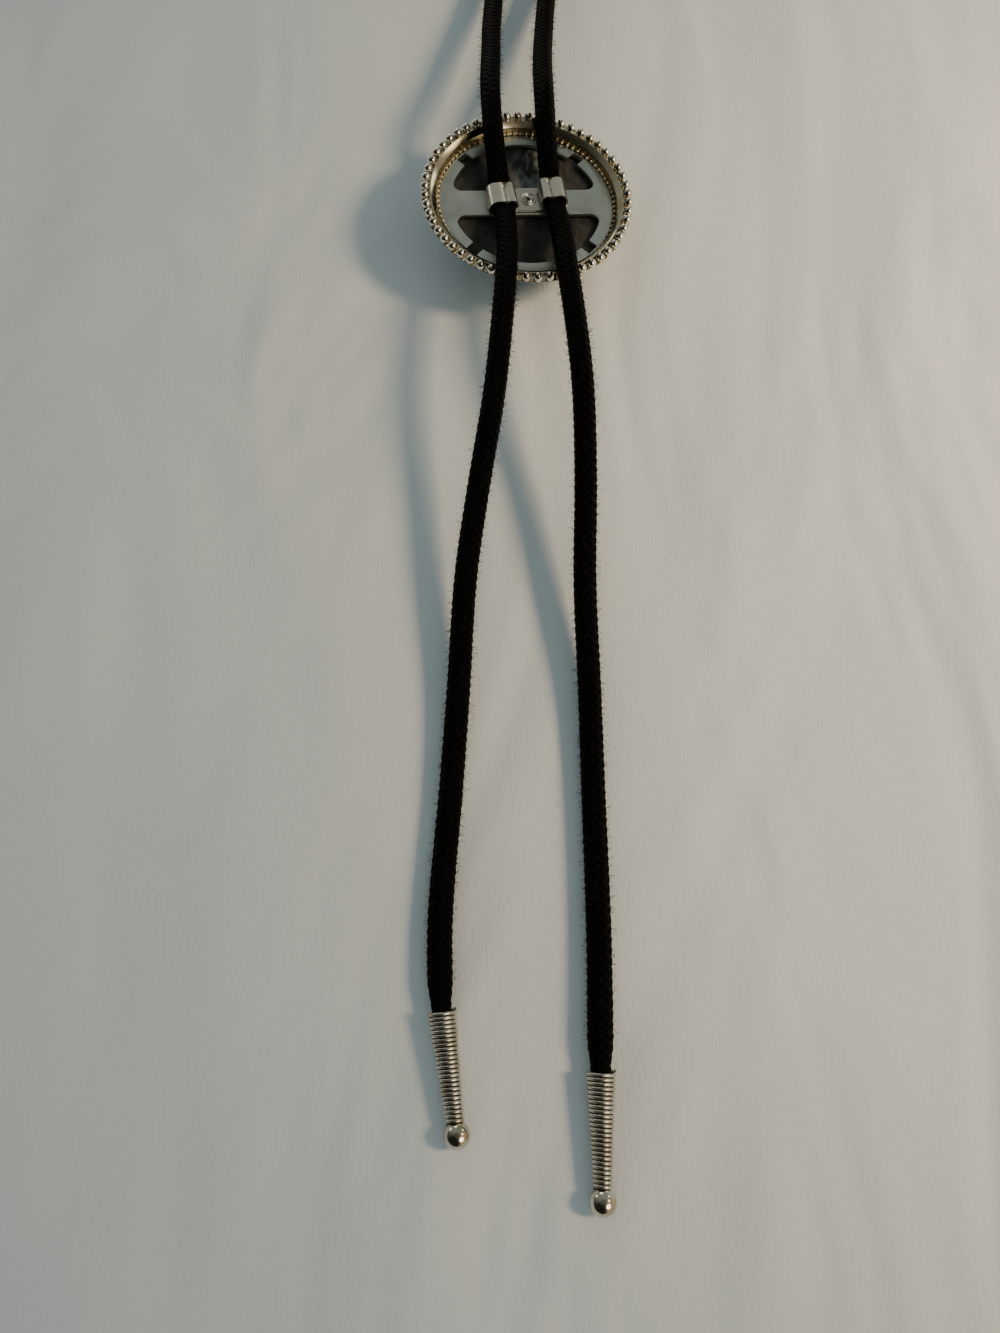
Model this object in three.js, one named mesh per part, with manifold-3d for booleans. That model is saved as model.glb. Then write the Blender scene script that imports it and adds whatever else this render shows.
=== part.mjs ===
// A bolo tie lying face down, as it looks from behind: a round slide with a beaded setting, a recessed back
// plate and a spring clip, one long braided cord through the clip, and two tips of coiled wire.
// Millimetres, +Z up. The origin is on the surface, under the middle of the ring of beads. +Y points away
// from the tips, towards the neck, and +X to the right as the wearer's side of the slide is seen.
import * as THREE from "three";
import { mergeVertices } from "three/addons/utils/BufferGeometryUtils.js";
import Module from "manifold-3d";

const wasm = await Module();
wasm.setup();

// Clearances
const SEAT_GAP = 0.3;
const CORD_GAP = 0.22;
const SURFACE_GAP = 0.03;

// The beaded setting
const BEAD_DIAMETER = 2.4;
const BEAD_ROW_RADIUS = 24.1;
const BEAD_COUNT = 56;
const BEAD_FIRST_ANGLE = 5.3;
const BEAD_SIDES = 10;
const BEAD_RINGS = 4;
const LIP_WIDTH = 1.2;
const LIP_FALL = 0.8;
const WALL_TAPER = 0.6;
const WALL_DEPTH = 1.7;
const FOOT_GRAIN_DIAMETER = 1.0;
const BEAD_SEAT_DROP = 0.55;
const BEAD_SEAT_REACH = 1.1;
const LEDGE_WIDTH = 0.8;
const CUP_DEPTH = 5.0;
const CUP_EDGE_WIDTH = 0.65;

// The back plate, with its bar and openings
const PLATE_THICKNESS = 0.8;
const PLATE_RING_WIDTH = 2.8;
const PLATE_LEAN = 5.5;
const BAR_HEIGHT = 7.4;
const OPENING_CORNER_RADIUS = 2.0;
const SLOT_WIDTH = 3.1;
const SLOT_ANGLE = 45;
const SLOT_EDGE_WEB = 0.4;

// The domed piece that the setting holds
const CABOCHON_BACK_GAP = 0.9;
const CABOCHON_GIRDLE_HEIGHT = 1.2;
const CABOCHON_DOME_RADIUS = 24.2;

// The spring clip and its rivet
const STRIP_THICKNESS = 0.42;
const CLIP_BASE_WIDTH = 7.0;
const CLIP_BASE_HEIGHT = 6.8;
const CLIP_BASE_CORNER = 1.2;
const CLIP_CENTRE = [0.45, 0.25];
const LOOP_LENGTH = 5.7;
const LOOP_EXTRA_LEAN = 4.0;
const LEFT_LOOP = { across: -6.1, along: -0.6, width: 7.2, height: 3.6 };
const RIGHT_LOOP = { across: 6.1, along: 0.45, width: 6.7, height: 4.0 };
const RIVET_SHANK_RADIUS = 0.8;
const RIVET_HOLE_RADIUS = 0.5;
const RIVET_FLANGE_RADIUS = 1.4;
const RIVET_FLANGE_HEIGHT = 0.4;

// How the slide lies on its dome
const SLIDE_ROLL = 4.8;

// The cord
const CORD_DIAMETER = 5.0;
const CORD_SIDES = 10;
const COARSE_STEP = 14.2;
const FINE_STEP = 2.6;
const LOOP_SHOULDER = 9.0;
const NECKING_LENGTH = 5.0;

// The coiled tips
const WIRE_DIAMETER = 0.75;
const TIP_TURNS = 26;
const TIP_MOUTH_DIAMETER = 5.75;
const TIP_NARROW_DIAMETER = 3.5;
const TIP_SOCKET_DEPTH = 6.0;
const TIP_BALL_DIAMETER = 4.9;
const TIP_BALL_STANDOFF = 1.9;
const TIP_SIDES = 10;
const TIP_BALL_STEPS = 6;
const LEFT_TIP = { mouth: [-17.4, -182.2], heading: 8.6 };
const RIGHT_TIP = { mouth: [11.9, -192.6], heading: -0.8 };

// The cord's middle line from the left tip, over the slide, round the neck and back to the right tip.
// The cord lies on the surface except where it climbs over the setting to reach the clip.
const CORD_POINTS = [
  [-16.65, -187.2, 2.8],
  [-17.4, -182.2, 2.88],
  [-18, -166.1, 2.64],
  [-16.3, -139.9, 2.69],
  [-15.1, -120, 3.96],
  [-13.7, -95.6, 8.16],
  [-11.1, -77.2, 12.74],
  [-7.7, -57, 18.47],
  [-6, -40.2, 20.96],
  [-5, -25.8, 21.08],
  [-4.9, -13.6, 18.11],
  [-5.5, -4.4, 15.89],
  [-6.04, -1.18, 15.93],
  [-6.58, 2.05, 15.97],
  [-8.7, 23.7, 20.93],
  [-8.8, 53.4, 13.63],
  [-9.6, 97.4, 4.17],
  [-25.9, 140.3, 2.62],
  [-28.7, 176, 2.64],
  [-13.2, 199.9, 2.55],
  [6.8, 202.3, 2.58],
  [24.5, 182.5, 2.55],
  [26.4, 149, 2.71],
  [9.8, 102.9, 3.43],
  [4.6, 54.3, 12.2],
  [4.2, 23.6, 20.16],
  [5.43, 4.25, 15.14],
  [5.97, 1.03, 15.1],
  [6.51, -2.2, 15.06],
  [7.7, -12.7, 17.22],
  [8.6, -26, 20.66],
  [9.9, -38.7, 20.71],
  [11.4, -55.6, 18.21],
  [11.8, -75, 12.97],
  [11.4, -97.1, 7.82],
  [12, -119, 4.01],
  [12.2, -138.9, 2.76],
  [12.4, -168.5, 2.59],
  [11.9, -192.6, 2.88],
  [11.83, -197.7, 2.8],
];

const rad = THREE.MathUtils.degToRad;

// Plain metal, cord and stone colours
const BRIGHT_METAL = new THREE.MeshStandardMaterial({ color: 0xc9c6bd, roughness: 0.15, metalness: 1 });
const SATIN_METAL = new THREE.MeshStandardMaterial({ color: 0x8f938c, roughness: 0.45, metalness: 1 });
const CLIP_METAL = new THREE.MeshStandardMaterial({ color: 0xaaa69a, roughness: 0.3, metalness: 1 });
const BLACK_CORD = new THREE.MeshStandardMaterial({ color: 0x0b0a09, roughness: 0.85, metalness: 0 });
const DARK_STONE = new THREE.MeshStandardMaterial({ color: 0x161413, roughness: 0.2, metalness: 0 });

// A geometry as a closed solid that can be joined and cut.
function solidOf(geometry) {
  const bare = geometry.clone();
  bare.deleteAttribute("normal");
  bare.deleteAttribute("uv");
  const merged = mergeVertices(bare, 1e-4);
  const mesh = new wasm.Mesh({
    numProp: 3,
    vertProperties: merged.attributes.position.array,
    triVerts: new Uint32Array(merged.index.array),
  });
  return new wasm.Manifold(mesh);
}

// A joined or cut solid as a geometry again.
function geometryOf(solid) {
  const mesh = solid.getMesh();
  const geometry = new THREE.BufferGeometry();
  geometry.setAttribute("position", new THREE.BufferAttribute(new Float32Array(mesh.vertProperties), 3));
  geometry.setIndex(new THREE.BufferAttribute(new Uint32Array(mesh.triVerts), 1));
  geometry.computeVertexNormals();
  return geometry;
}

// A turned piece about +Z from [radius, height] points, which run up its outer side.
function turned(profile, sides) {
  const points = profile.map(([radius, height]) => new THREE.Vector2(radius, height));
  const geometry = new THREE.LatheGeometry(points, sides);
  geometry.rotateX(Math.PI / 2);
  return geometry;
}

function named(name, geometry, material) {
  const mesh = new THREE.Mesh(geometry, material);
  mesh.name = name;
  return mesh;
}

// Heights in the slide's own frame, whose zero is the middle plane of the bead row
const beadRadius = BEAD_DIAMETER / 2;
const lipOuter = BEAD_ROW_RADIUS - beadRadius;
const lipInner = lipOuter - LIP_WIDTH;
const wallFoot = lipInner - WALL_TAPER;
const plateTop = -(LIP_FALL + WALL_DEPTH);
const plateBottom = plateTop - PLATE_THICKNESS;
const plateRadius = wallFoot - SEAT_GAP;
const pocketRadius = wallFoot - LEDGE_WIDTH;
const cabochonBack = plateBottom - CABOCHON_BACK_GAP;
const cabochonRadius = pocketRadius - SEAT_GAP;
const cabochonGirdle = cabochonBack - CABOCHON_GIRDLE_HEIGHT;
const domeCentre = cabochonGirdle + Math.sqrt(CABOCHON_DOME_RADIUS ** 2 - cabochonRadius ** 2);
// The dome touches the surface at its lowest point.
const slideHeight = CABOCHON_DOME_RADIUS - domeCentre * Math.cos(rad(SLIDE_ROLL));

// The setting: a turned ring whose profile flares from the cup's edge up to the bead seat, comes in over it,
// falls along the lip and the wall to the grained foot, and goes round the ledge that carries the plate and
// the pocket that holds the domed piece. The beads hide the flare and the cup from the tips' side.
function beadedRim() {
  const outer = BEAD_ROW_RADIUS + BEAD_SEAT_REACH;
  const grain = FOOT_GRAIN_DIAMETER / 2;
  const ledge = plateBottom - SEAT_GAP;
  const profile = [
    [pocketRadius, -CUP_DEPTH],
    [pocketRadius + CUP_EDGE_WIDTH, -CUP_DEPTH],
    [outer, -BEAD_SEAT_DROP],
    [lipOuter + beadRadius / 4, -BEAD_SEAT_DROP],
    [lipOuter, 0],
    [lipInner, -LIP_FALL],
    [wallFoot + grain, plateTop + grain],
    [wallFoot, plateTop],
    [wallFoot, ledge],
    [pocketRadius, ledge],
    [pocketRadius, -CUP_DEPTH],
  ];
  const beads = [];
  for (let i = 0; i < BEAD_COUNT; i += 1) {
    const angle = rad(BEAD_FIRST_ANGLE) + (i * 2 * Math.PI) / BEAD_COUNT;
    const bead = new THREE.SphereGeometry(beadRadius, BEAD_SIDES, BEAD_RINGS);
    bead.rotateX(Math.PI / 2);
    bead.translate(BEAD_ROW_RADIUS, 0, 0);
    bead.rotateZ(angle);
    beads.push(solidOf(bead));
  }
  const ring = solidOf(turned(profile, BEAD_COUNT));
  return geometryOf(wasm.Manifold.union([ring, ...beads]));
}

// The domed piece: flat back, short straight girdle, then a round dome down to the surface.
function cabochon() {
  const halfAngle = Math.asin(cabochonRadius / CABOCHON_DOME_RADIUS);
  const steps = 6;
  const profile = [];
  for (let i = 0; i <= steps; i += 1) {
    const angle = (halfAngle * i) / steps;
    profile.push([
      CABOCHON_DOME_RADIUS * Math.sin(angle),
      domeCentre - CABOCHON_DOME_RADIUS * Math.cos(angle),
    ]);
  }
  profile.push([cabochonRadius, cabochonBack], [0, cabochonBack]);
  return turned(profile, 32);
}

// One D-shaped opening above the bar: an arc of the plate's ring and the bar's edge, with round corners.
function openingOutline() {
  const arcRadius = plateRadius - PLATE_RING_WIDTH;
  const edge = BAR_HEIGHT / 2;
  const corner = OPENING_CORNER_RADIUS;
  const cornerHeight = edge + corner;
  const cornerReach = Math.sqrt((arcRadius - corner) ** 2 - cornerHeight ** 2);
  const meeting = Math.atan2(cornerHeight, cornerReach);
  const shape = new THREE.Path();
  shape.absarc(cornerReach, cornerHeight, corner, -Math.PI / 2, meeting, false);
  shape.absarc(0, 0, arcRadius, meeting, Math.PI - meeting, false);
  shape.absarc(-cornerReach, cornerHeight, corner, Math.PI - meeting, Math.PI * 1.5, false);
  shape.closePath();
  return shape;
}

function slabOf(shape, thickness, curveSegments) {
  return new THREE.ExtrudeGeometry(shape, { depth: thickness, bevelEnabled: false, curveSegments });
}

// The plate lies in the setting with its middle at the slide's middle, and the rivet passes its bar.
function backPlate() {
  const disc = new THREE.Shape();
  disc.absarc(0, 0, plateRadius, 0, 2 * Math.PI, false);
  let plate = solidOf(slabOf(disc, PLATE_THICKNESS, 48));
  const deep = PLATE_THICKNESS * 3;
  const opening = slabOf(new THREE.Shape(openingOutline().getPoints(9)), deep, 9);
  opening.translate(0, 0, -PLATE_THICKNESS);
  const openings = [opening, opening.clone().rotateZ(Math.PI)];
  const slotLength = PLATE_RING_WIDTH + OPENING_CORNER_RADIUS;
  const slotOuter = plateRadius - SLOT_EDGE_WEB;
  for (const angle of [SLOT_ANGLE, 180 - SLOT_ANGLE, 180 + SLOT_ANGLE, -SLOT_ANGLE]) {
    const slot = new THREE.BoxGeometry(slotLength, SLOT_WIDTH, deep);
    slot.translate(slotOuter - slotLength / 2, 0, PLATE_THICKNESS / 2);
    slot.rotateZ(rad(angle));
    openings.push(slot);
  }
  const hole = new THREE.CylinderGeometry(rivetHoleFit, rivetHoleFit, deep, 16).rotateX(Math.PI / 2);
  hole.translate(CLIP_CENTRE[0], CLIP_CENTRE[1], PLATE_THICKNESS / 2);
  openings.push(hole);
  for (const space of openings) plate = plate.subtract(solidOf(space));
  return geometryOf(plate).translate(0, 0, plateBottom);
}

// The clip's strip stands on the bar; the rivet's shank passes both with clearance.
const rivetHoleFit = RIVET_SHANK_RADIUS + SEAT_GAP;
const clipBottom = plateTop + SEAT_GAP;
const clipTop = clipBottom + STRIP_THICKNESS;

// A loop's middle line, as shares of its half width across and of its height up, from the base outwards,
// round the outer side, over two lobes with a valley between them, and down to the free end.
const LOOP_LINE = [
  { across: -1.0, up: 0.0 },
  { across: -0.2, up: 0.0 },
  { across: 0.7, up: 0.0 },
  { across: 0.93, up: 0.1 },
  { across: 1.0, up: 0.34 },
  { across: 0.97, up: 0.66 },
  { across: 0.84, up: 0.91 },
  { across: 0.57, up: 1.0 },
  { across: 0.28, up: 0.97 },
  { across: 0.04, up: 0.89 },
  { across: -0.2, up: 0.97 },
  { across: -0.52, up: 1.0 },
  { across: -0.8, up: 0.9 },
  { across: -0.95, up: 0.64 },
  { across: -0.96, up: 0.4 },
];
const VALLEY_SHARE = 0.89;

// A strip of even thickness along a middle line, as a closed outline.
function stripOutline(line, thickness) {
  const curve = new THREE.SplineCurve(line.map(([x, y]) => new THREE.Vector2(x, y)));
  const count = line.length * 2;
  const outside = [];
  const inside = [];
  for (let i = 0; i <= count; i += 1) {
    const point = curve.getPoint(i / count);
    const along = curve.getTangent(i / count);
    const side = new THREE.Vector2(-along.y, along.x).multiplyScalar(thickness / 2);
    outside.push(point.clone().sub(side));
    inside.unshift(point.clone().add(side));
  }
  return new THREE.Shape([...outside, ...inside]);
}

// One loop of the clip, with its outer side towards -X for the left and +X for the right.
function clipLoop(loop, outward) {
  const halfWidth = (loop.width - STRIP_THICKNESS) / 2;
  const rise = loop.height - STRIP_THICKNESS;
  const line = LOOP_LINE.map(({ across, up }) => [outward * across * halfWidth, up * rise]);
  const body = slabOf(stripOutline(line, STRIP_THICKNESS), LOOP_LENGTH, 12);
  body.translate(0, STRIP_THICKNESS / 2, -LOOP_LENGTH / 2);
  body.rotateX(Math.PI / 2);
  body.rotateZ(rad(LOOP_EXTRA_LEAN));
  body.translate(loop.across, loop.along, 0);
  return solidOf(body);
}

function roundedRectangle(width, height, radius) {
  const x = width / 2;
  const y = height / 2;
  const shape = new THREE.Shape();
  shape.absarc(x - radius, y - radius, radius, 0, Math.PI / 2, false);
  shape.absarc(-x + radius, y - radius, radius, Math.PI / 2, Math.PI, false);
  shape.absarc(-x + radius, -y + radius, radius, Math.PI, Math.PI * 1.5, false);
  shape.absarc(x - radius, -y + radius, radius, Math.PI * 1.5, 2 * Math.PI, false);
  return shape;
}

function springClip() {
  const outline = roundedRectangle(CLIP_BASE_WIDTH, CLIP_BASE_HEIGHT, CLIP_BASE_CORNER);
  const base = slabOf(outline, STRIP_THICKNESS, 6);
  base.translate(CLIP_CENTRE[0], CLIP_CENTRE[1], 0);
  const hole = new THREE.CylinderGeometry(rivetHoleFit, rivetHoleFit, STRIP_THICKNESS * 3, 16);
  hole.rotateX(Math.PI / 2);
  hole.translate(CLIP_CENTRE[0], CLIP_CENTRE[1], STRIP_THICKNESS / 2);
  const joined = solidOf(base).add(clipLoop(LEFT_LOOP, -1)).add(clipLoop(RIGHT_LOOP, 1));
  return geometryOf(joined.subtract(solidOf(hole))).translate(0, 0, clipBottom);
}

// A hollow rivet with a rolled flange above the clip and a plain one under the bar.
function eyeletRivet() {
  const upper = clipTop + SEAT_GAP / 2;
  const lower = plateBottom - SEAT_GAP / 2;
  const flange = RIVET_FLANGE_RADIUS;
  const bore = RIVET_HOLE_RADIUS;
  const shank = RIVET_SHANK_RADIUS;
  const height = RIVET_FLANGE_HEIGHT;
  const profile = [
    [bore, lower - height],
    [flange, lower - height],
    [flange, lower],
    [shank, lower],
    [shank, upper],
    [flange, upper],
    [flange - height * 0.3, upper + height * 0.8],
    [(flange + bore) / 2, upper + height],
    [bore + height * 0.3, upper + height * 0.8],
    [bore, upper],
    [bore, lower - height],
  ];
  return turned(profile, 16).translate(CLIP_CENTRE[0], CLIP_CENTRE[1], 0);
}

// A tip along +Z from its mouth: ribs of the coiled wire on a taper, hollow at the mouth for the cord, with
// the ball on its far end.
const mouthRadius = TIP_MOUTH_DIAMETER / 2;
const narrowRadius = TIP_NARROW_DIAMETER / 2;
const ballRadius = TIP_BALL_DIAMETER / 2;
const boreRadius = mouthRadius - WIRE_DIAMETER;
const tipLength = TIP_TURNS * WIRE_DIAMETER;
const ballCentre = tipLength + TIP_BALL_STANDOFF;
function coilTip() {
  const groove = WIRE_DIAMETER / 4;
  const profile = [
    [0, TIP_SOCKET_DEPTH],
    [boreRadius, TIP_SOCKET_DEPTH],
    [boreRadius, 0],
    [mouthRadius - groove, 0],
  ];
  for (let turn = 0; turn < TIP_TURNS; turn += 1) {
    const share = turn / TIP_TURNS;
    const crest = mouthRadius + (narrowRadius - mouthRadius) * share;
    const start = turn * WIRE_DIAMETER;
    profile.push([crest, start + WIRE_DIAMETER / 2], [crest - groove, start + WIRE_DIAMETER]);
  }
  const neck = Math.asin((narrowRadius - groove) / ballRadius);
  for (let i = 0; i <= TIP_BALL_STEPS; i += 1) {
    const angle = neck + ((Math.PI - neck) * i) / TIP_BALL_STEPS;
    const radius = i === TIP_BALL_STEPS ? 0 : ballRadius * Math.sin(angle);
    profile.push([radius, ballCentre - ballRadius * Math.cos(angle)]);
  }
  return turned(profile, TIP_SIDES);
}

// A tip lies on the surface with its mouth's edge and its ball.
function placedTip(name, place) {
  const mesh = named(name, coilTip(), BRIGHT_METAL);
  const droop = Math.asin((mouthRadius - ballRadius) / ballCentre);
  const holder = new THREE.Group();
  holder.position.set(place.mouth[0], place.mouth[1], mouthRadius + SURFACE_GAP);
  holder.rotation.z = rad(place.heading);
  mesh.rotation.x = Math.PI / 2 + droop;
  holder.add(mesh);
  return holder;
}

// The cord's route, with marks that are close together at the clip's loops and the tips' mouths.
class MarkedRoute extends THREE.Curve {
  constructor(route, marks) {
    super();
    this.route = route;
    this.marks = marks;
  }

  share(u) {
    const place = u * (this.marks.length - 1);
    const index = Math.min(Math.floor(place), this.marks.length - 2);
    return THREE.MathUtils.lerp(this.marks[index], this.marks[index + 1], place - index);
  }

  getPointAt(u) {
    return this.route.getPointAt(this.share(u));
  }

  getTangentAt(u) {
    return this.route.getTangentAt(this.share(u));
  }
}

// The slide's frame in the part's frame
const slide = new THREE.Group();
slide.name = "slide";
slide.position.z = slideHeight;
slide.rotation.y = rad(SLIDE_ROLL);
const leaning = new THREE.Group();
leaning.rotation.z = rad(PLATE_LEAN);
slide.add(leaning);
slide.updateMatrixWorld(true);

// Where a loop grips the cord, and how wide and high its inside leaves the cord
function gripOf(loop) {
  const base = clipBottom + STRIP_THICKNESS;
  const valley = clipBottom + (loop.height - STRIP_THICKNESS) * VALLEY_SHARE;
  const middle = new THREE.Vector3(loop.across, loop.along, (base + valley) / 2);
  return {
    centre: middle.applyMatrix4(leaning.matrixWorld),
    halfHeight: (valley - base) / 2 - CORD_GAP,
    halfWidth: loop.width / 2 - STRIP_THICKNESS - CORD_GAP,
  };
}

// The cord is round on its way, narrow inside the tips' mouths, and pressed flat inside the clip's loops.
function braidedCord() {
  const route = new THREE.CatmullRomCurve3(
    CORD_POINTS.map((point) => new THREE.Vector3(...point)),
    false,
    "centripetal",
  );
  route.arcLengthDivisions = 3000;
  const length = route.getLength();
  const samples = route.getSpacedPoints(3000);
  const grips = [gripOf(LEFT_LOOP), gripOf(RIGHT_LOOP)];
  for (const grip of grips) {
    const distances = samples.map((point) => point.distanceTo(grip.centre));
    const nearest = distances.indexOf(Math.min(...distances));
    grip.at = (nearest / (samples.length - 1)) * length;
  }
  const endFine = TIP_SOCKET_DEPTH + NECKING_LENGTH;
  const isFine = (at) =>
    at < endFine ||
    at > length - endFine - COARSE_STEP ||
    grips.some((grip) => at > grip.at - LOOP_SHOULDER - COARSE_STEP && at < grip.at + LOOP_SHOULDER);
  const marks = [0];
  let at = 0;
  while (at < length - FINE_STEP * 1.5) {
    at += isFine(at) ? FINE_STEP : COARSE_STEP;
    marks.push(Math.min(at, length) / length);
  }
  if (marks[marks.length - 1] < 1) marks.push(1);
  const path = new MarkedRoute(route, marks);
  const section = new THREE.Shape();
  section.absarc(0, 0, CORD_DIAMETER / 2, 0, 2 * Math.PI, false);
  const outline = new THREE.Shape(section.getSpacedPoints(CORD_SIDES).slice(0, CORD_SIDES));
  const tube = new THREE.ExtrudeGeometry(outline, { steps: marks.length - 1, extrudePath: path });
  const up = new THREE.Vector3(0, 0, 1).transformDirection(slide.matrixWorld);
  const centres = marks.map((mark) => route.getPointAt(mark));
  const neckShare = (boreRadius - CORD_GAP) / (CORD_DIAMETER / 2);
  const position = tube.attributes.position;
  for (let i = 0; i < position.count; i += 1) {
    const vertex = new THREE.Vector3().fromBufferAttribute(position, i);
    const distances = centres.map((centre) => centre.distanceToSquared(vertex));
    const ring = distances.indexOf(Math.min(...distances));
    const along = marks[ring] * length;
    const offset = vertex.clone().sub(centres[ring]);
    const rise = up.clone().multiplyScalar(offset.dot(up));
    const across = offset.clone().sub(rise);
    const fromEnd = Math.min(along, length - along);
    const open = THREE.MathUtils.smoothstep(fromEnd, TIP_SOCKET_DEPTH, TIP_SOCKET_DEPTH + NECKING_LENGTH);
    const neck = THREE.MathUtils.lerp(neckShare, 1, open);
    rise.multiplyScalar(neck);
    across.multiplyScalar(neck);
    for (const grip of grips) {
      const away = Math.abs(along - grip.at);
      const free = THREE.MathUtils.smoothstep(away, LOOP_LENGTH / 2 + CORD_GAP, LOOP_SHOULDER);
      rise.multiplyScalar(THREE.MathUtils.lerp(grip.halfHeight / (CORD_DIAMETER / 2), 1, free));
      across.multiplyScalar(THREE.MathUtils.lerp(grip.halfWidth / (CORD_DIAMETER / 2), 1, free));
    }
    const moved = centres[ring].clone().add(rise).add(across);
    position.setXYZ(i, moved.x, moved.y, moved.z);
  }
  return tube;
}

slide.add(named("beaded_rim", beadedRim(), BRIGHT_METAL));
slide.add(named("cabochon", cabochon(), DARK_STONE));
leaning.add(named("back_plate", backPlate(), SATIN_METAL));
leaning.add(named("spring_clip", springClip(), CLIP_METAL));
leaning.add(named("eyelet_rivet", eyeletRivet(), CLIP_METAL));

const part = new THREE.Group();
part.name = "bolo_tie";
part.add(slide);
part.add(named("braided_cord", braidedCord(), BLACK_CORD));
part.add(placedTip("left_tip", LEFT_TIP));
part.add(placedTip("right_tip", RIGHT_TIP));

export default part;
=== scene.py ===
# %% [markdown]
# # A bolo tie seen from behind
# A bolo tie is one braided cord whose two ends run through a clip on the back of a round slide. This one lies
# face down on a table, so the clip, the plate that carries it and the back of the beaded setting all show.
# The lesson builds it piece by piece in metres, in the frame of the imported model. The model is loaded first,
# because every piece has to sit where its solid sits.

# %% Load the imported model
import bpy
import bmesh
import math
import numpy as np
from mathutils import Matrix, Vector


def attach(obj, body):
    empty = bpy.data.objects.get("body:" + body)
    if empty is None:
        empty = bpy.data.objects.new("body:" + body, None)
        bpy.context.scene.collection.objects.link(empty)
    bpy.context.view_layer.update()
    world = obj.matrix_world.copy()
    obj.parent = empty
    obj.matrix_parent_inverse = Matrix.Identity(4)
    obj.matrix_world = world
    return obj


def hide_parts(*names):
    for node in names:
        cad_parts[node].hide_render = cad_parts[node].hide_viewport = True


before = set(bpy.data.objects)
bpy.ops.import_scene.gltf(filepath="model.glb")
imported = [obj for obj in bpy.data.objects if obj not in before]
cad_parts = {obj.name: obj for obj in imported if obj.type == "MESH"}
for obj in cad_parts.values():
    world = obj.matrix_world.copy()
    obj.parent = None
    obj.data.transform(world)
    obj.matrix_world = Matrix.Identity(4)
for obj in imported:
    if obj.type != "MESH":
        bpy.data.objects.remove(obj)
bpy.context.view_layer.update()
MM = 0.001

# %% [markdown]
# ## The camera
# The photo was taken by hand from just above the tips, looking 70 degrees down, with a wide lens. The ring of
# beads is a true circle on the real slide, so its outline in the photo fixes the camera: 200 mm above the
# table and 186 mm in front of the slide's middle. A camera that looks straight down has no turn at all in
# Blender, so 20 degrees about X leans it forward to the slide.

# %% Place the camera
lens_data = bpy.data.cameras.new("view_from_the_tips")
lens_data.sensor_fit = "VERTICAL"
frame_height = 24.0
picture_height = 1333.0
focal_length_in_picture = 1001.0
lens_data.sensor_height = frame_height
lens_data.lens = frame_height * focal_length_in_picture / picture_height
lens_data.clip_start = 0.01
lens_data.clip_end = 20.0
camera = bpy.data.objects.new("view_from_the_tips", lens_data)
camera.location = (-6.5 * MM, -185.7 * MM, 200 * MM)
camera.rotation_euler = (math.radians(20), 0, 0)
bpy.context.scene.collection.objects.link(camera)
bpy.context.scene.camera = camera
print("lens", round(lens_data.lens, 2), "mm on a frame 24 mm high")

# %% [markdown]
# ## Light and surroundings
# The photo's light comes from a window on the right, about 40 degrees high: it is warm, and the room's own
# light, which fills the shadows, is cool. The window lamp is near, narrow enough for shadows with an edge, and
# aimed past the tie to the right, so that its light thins out to the left as in the photo. Bright metal is a
# different matter: it shows what stands around it. The lamp itself would be a hard dot in it, so metal doesn't
# see the lamp. It sees the windows and the dim walls that the world's tree draws further down.

# %% Lamp and room
def panel_lamp(name, place, target, size, power, colour):
    lamp = bpy.data.lights.new(name, "AREA")
    lamp.shape = "RECTANGLE"
    lamp.size, lamp.size_y = size
    lamp.energy = power
    lamp.color = colour
    holder = bpy.data.objects.new(name, lamp)
    holder.location = place
    holder.rotation_euler = (Vector(target) - Vector(place)).to_track_quat("-Z", "Y").to_euler()
    bpy.context.scene.collection.objects.link(holder)
    return holder


window_place = (0.62, -0.165, 0.56)
window_aim = (0.31, -0.06, 0)
window_size = (0.13, 0.2)
window_lamp = panel_lamp("window_right", window_place, window_aim, window_size, 1.5, (1.0, 0.77, 0.50))
window_lamp.data.spread = math.radians(61)
window_lamp.visible_glossy = False
world = bpy.data.worlds.new("soft_room")
bpy.context.scene.world = world
world.use_nodes = True


# %% [markdown]
# ## Two small helpers for node trees
# Both the finishes and the repeated shapes are made with nodes. Steps adds a node, links or sets its inputs
# and hands back the socket that matters, so that a tree reads from top to bottom like a recipe. It also knows
# the few moves that come back in nearly every tree, such as a noise, a mix of two colours or a named value.

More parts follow.
